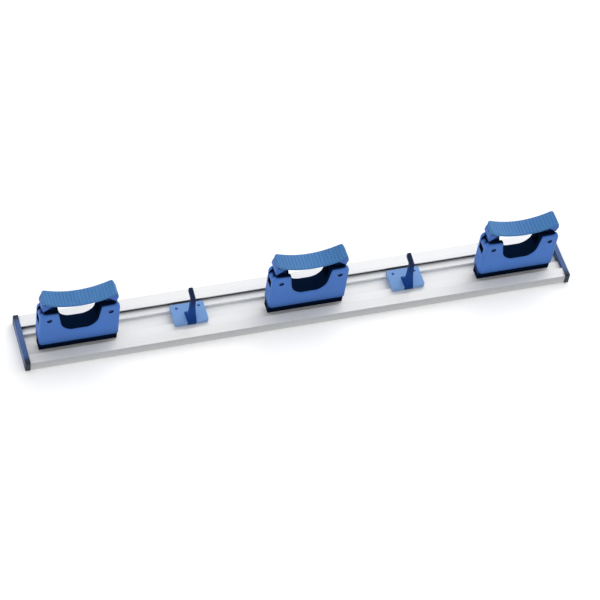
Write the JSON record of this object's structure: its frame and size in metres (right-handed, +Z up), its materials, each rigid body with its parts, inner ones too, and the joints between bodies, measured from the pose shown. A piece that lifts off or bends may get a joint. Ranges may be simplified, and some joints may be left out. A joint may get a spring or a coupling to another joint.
{
  "type": "wall tool holder",
  "caption": "Wall rail with sliding spring-jaw holders for tool handles, sliding hooks and end caps.",
  "frame": {"origin": "middle of the rail's back face, on the wall", "axes": "+X along the rail, +Y into the wall, +Z up the wall; the holders and hooks stand out towards -Y"},
  "size_m": [0.55, 0.0803, 0.0592],
  "materials": {
    "rail_aluminium": "satin anodised",
    "cap_blue": "moulded, satin",
    "holder_blue": "moulded, fine texture",
    "jaw_blue": "moulded, fine texture",
    "lining_blue": "soft, ribbed",
    "hook_blue": "moulded, satin",
    "pin_dark": "moulded, plain"
  },
  "bodies": {
    "rail": {"rail": "rail_aluminium", "end_cap_left": "cap_blue", "end_cap_right": "cap_blue"},
    "left_holder": {"left_holder_body": "holder_blue", "left_holder_pins": "pin_dark", "left_holder_web": "lining_blue"},
    "left_holder_jaw_left": {"left_holder_jaw_left": "jaw_blue", "left_holder_pad_left": "lining_blue"},
    "left_holder_jaw_right": {"left_holder_jaw_right": "jaw_blue", "left_holder_pad_right": "lining_blue"},
    "middle_holder": {"middle_holder_body": "holder_blue", "middle_holder_pins": "pin_dark", "middle_holder_web": "lining_blue"},
    "middle_holder_jaw_left": {"middle_holder_jaw_left": "jaw_blue", "middle_holder_pad_left": "lining_blue"},
    "middle_holder_jaw_right": {"middle_holder_jaw_right": "jaw_blue", "middle_holder_pad_right": "lining_blue"},
    "right_holder": {"right_holder_body": "holder_blue", "right_holder_pins": "pin_dark", "right_holder_web": "lining_blue"},
    "right_holder_jaw_left": {"right_holder_jaw_left": "jaw_blue", "right_holder_pad_left": "lining_blue"},
    "right_holder_jaw_right": {"right_holder_jaw_right": "jaw_blue", "right_holder_pad_right": "lining_blue"},
    "left_hook": {"left_hook": "hook_blue"},
    "right_hook": {"right_hook": "hook_blue"}
  },
  "joints": [
    {"name": "left_holder_slide", "type": "slide", "parent": "rail", "child": "left_holder", "axis": [1, 0, 0], "range_m": [-0.0102, 0.028]},
    {"name": "left_holder_jaw_left_turn", "type": "hinge", "parent": "left_holder", "child": "left_holder_jaw_left", "pos_m": [-0.2503, -0.0545, -0.00735], "axis": [0, 0, 1], "range_deg": [0, 70], "stiffness_Nm_per_rad": 0.05, "deforming": ["left_holder_web"]},
    {"name": "left_holder_jaw_right_turn", "type": "hinge", "parent": "left_holder", "child": "left_holder_jaw_right", "pos_m": [-0.1917, -0.0545, -0.00735], "axis": [0, 0, -1], "range_deg": [0, 70], "stiffness_Nm_per_rad": 0.05},
    {"name": "middle_holder_slide", "type": "slide", "parent": "rail", "child": "middle_holder", "axis": [1, 0, 0], "range_m": [-0.0285, 0.0254]},
    {"name": "middle_holder_jaw_left_turn", "type": "hinge", "parent": "middle_holder", "child": "middle_holder_jaw_left", "pos_m": [-0.0253, -0.0545, -0.00735], "axis": [0, 0, 1], "range_deg": [0, 70], "stiffness_Nm_per_rad": 0.05, "deforming": ["middle_holder_web"]},
    {"name": "middle_holder_jaw_right_turn", "type": "hinge", "parent": "middle_holder", "child": "middle_holder_jaw_right", "pos_m": [0.0333, -0.0545, -0.00735], "axis": [0, 0, -1], "range_deg": [0, 70], "stiffness_Nm_per_rad": 0.05},
    {"name": "right_holder_slide", "type": "slide", "parent": "rail", "child": "right_holder", "axis": [1, 0, 0], "range_m": [-0.0264, 0.0117]},
    {"name": "right_holder_jaw_left_turn", "type": "hinge", "parent": "right_holder", "child": "right_holder_jaw_left", "pos_m": [0.1902, -0.0545, -0.00735], "axis": [0, 0, 1], "range_deg": [0, 70], "stiffness_Nm_per_rad": 0.05, "deforming": ["right_holder_web"]},
    {"name": "right_holder_jaw_right_turn", "type": "hinge", "parent": "right_holder", "child": "right_holder_jaw_right", "pos_m": [0.2488, -0.0545, -0.00735], "axis": [0, 0, -1], "range_deg": [0, 70], "stiffness_Nm_per_rad": 0.05},
    {"name": "left_hook_slide", "type": "slide", "parent": "rail", "child": "left_hook", "axis": [1, 0, 0], "range_m": [-0.028, 0.0285]},
    {"name": "right_hook_slide", "type": "slide", "parent": "rail", "child": "right_hook", "axis": [1, 0, 0], "range_m": [-0.0254, 0.0264]}
  ],
  "couplings": [
    {"joint": "left_holder_jaw_right_turn", "follows": "left_holder_jaw_left_turn", "ratio": 1},
    {"joint": "middle_holder_jaw_right_turn", "follows": "middle_holder_jaw_left_turn", "ratio": 1},
    {"joint": "right_holder_jaw_right_turn", "follows": "right_holder_jaw_left_turn", "ratio": 1}
  ]
}
